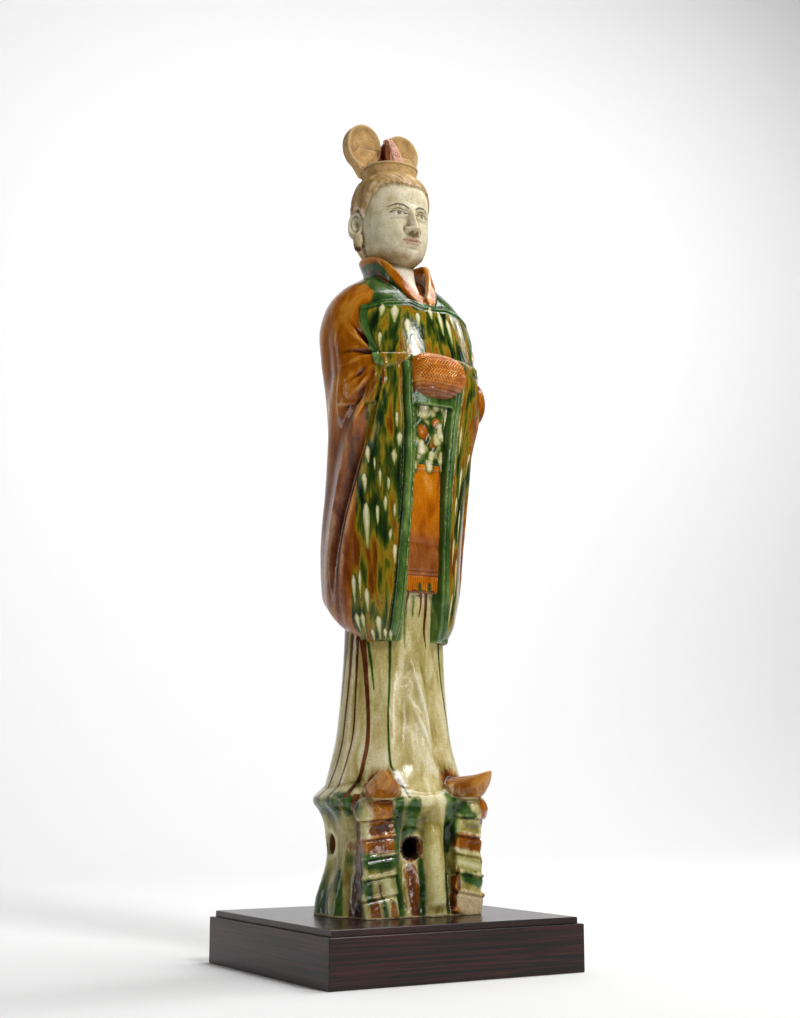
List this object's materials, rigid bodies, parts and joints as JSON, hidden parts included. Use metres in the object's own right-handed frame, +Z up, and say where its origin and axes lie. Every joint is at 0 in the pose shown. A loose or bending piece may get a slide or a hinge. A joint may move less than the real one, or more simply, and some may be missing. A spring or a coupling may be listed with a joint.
{
  "type": "glazed pottery official figure",
  "caption": "Standing robed official with folded hands in three-colour lead glaze, on a pierced rockwork base and a low dark wood stand.",
  "frame": {"origin": "centre of the stand's underside", "axes": "+Z up, the figure looks along -Y, +X is the figure's own left hand side"},
  "size_m": [0.38, 0.35, 1.2107],
  "materials": {
    "sancai_glaze": "runny amber, green and straw lead glaze over buff clay, with an unglazed painted head",
    "dark_wood": "polished dark brown veneer with reddish streaks"
  },
  "bodies": {
    "root": {"figure": "sancai_glaze", "stand_top": "dark_wood", "stand_front": "dark_wood", "stand_back": "dark_wood", "stand_left": "dark_wood", "stand_right": "dark_wood"}
  },
  "joints": []
}
